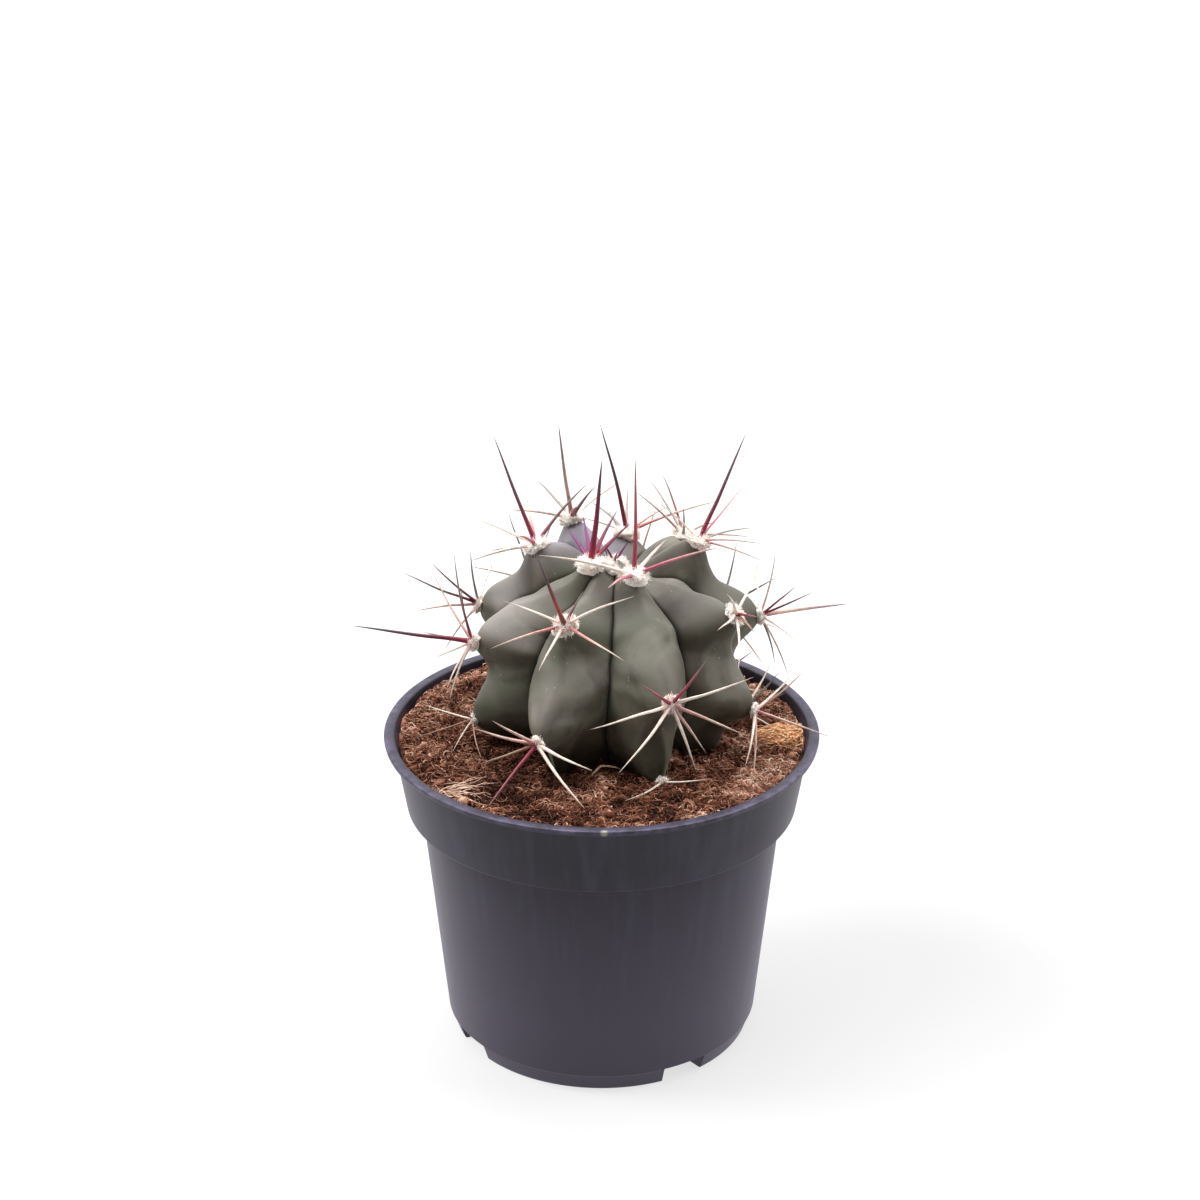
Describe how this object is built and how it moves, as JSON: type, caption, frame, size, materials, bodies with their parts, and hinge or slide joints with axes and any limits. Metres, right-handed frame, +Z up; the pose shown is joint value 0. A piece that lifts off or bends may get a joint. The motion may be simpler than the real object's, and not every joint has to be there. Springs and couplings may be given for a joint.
{
  "type": "potted round cactus",
  "caption": "Round ribbed cactus with woolly spine clusters along its ribs, rooted in peat in a tapered round nursery pot with a rolled rim and footed base.",
  "frame": {"origin": "middle of the pot's foot, on the surface that the pot stands on", "axes": "+Z up along the pot's axis, -Y towards the front foot's side that the picture looks at, +X to the right seen from there"},
  "size_m": [0.1381, 0.12, 0.1715],
  "materials": {
    "pot_plastic": "moulded polypropylene, dark bluish grey, soft satin, scuffed along the rim",
    "peat": "damp fibrous peat substrate, red-brown crumbs and pale fibres, dull",
    "cactus_skin": "matte grey-green skin with a waxy bloom, darker in the furrows",
    "spines_and_wool": "cream-pink wool pads; horny spines, crimson to dark purple-grey centrals and ivory to pink radials"
  },
  "bodies": {
    "root": {"pot": "pot_plastic", "soil": "peat", "cactus_body": "cactus_skin", "areole_i1": "spines_and_wool", "areole_i2": "spines_and_wool", "areole_i3": "spines_and_wool", "areole_a1": "spines_and_wool", "areole_a2": "spines_and_wool", "areole_b1": "spines_and_wool", "areole_b2": "spines_and_wool", "areole_b3": "spines_and_wool", "areole_c1": "spines_and_wool", "areole_c2": "spines_and_wool", "areole_c3": "spines_and_wool", "areole_d1": "spines_and_wool", "areole_d2": "spines_and_wool", "areole_d3": "spines_and_wool", "areole_e1": "spines_and_wool", "areole_e2": "spines_and_wool", "areole_f1": "spines_and_wool", "areole_f2": "spines_and_wool", "areole_f3": "spines_and_wool", "areole_g1": "spines_and_wool", "areole_g2": "spines_and_wool", "areole_g3": "spines_and_wool", "areole_h1": "spines_and_wool", "areole_h2": "spines_and_wool", "areole_h3": "spines_and_wool"}
  },
  "joints": []
}
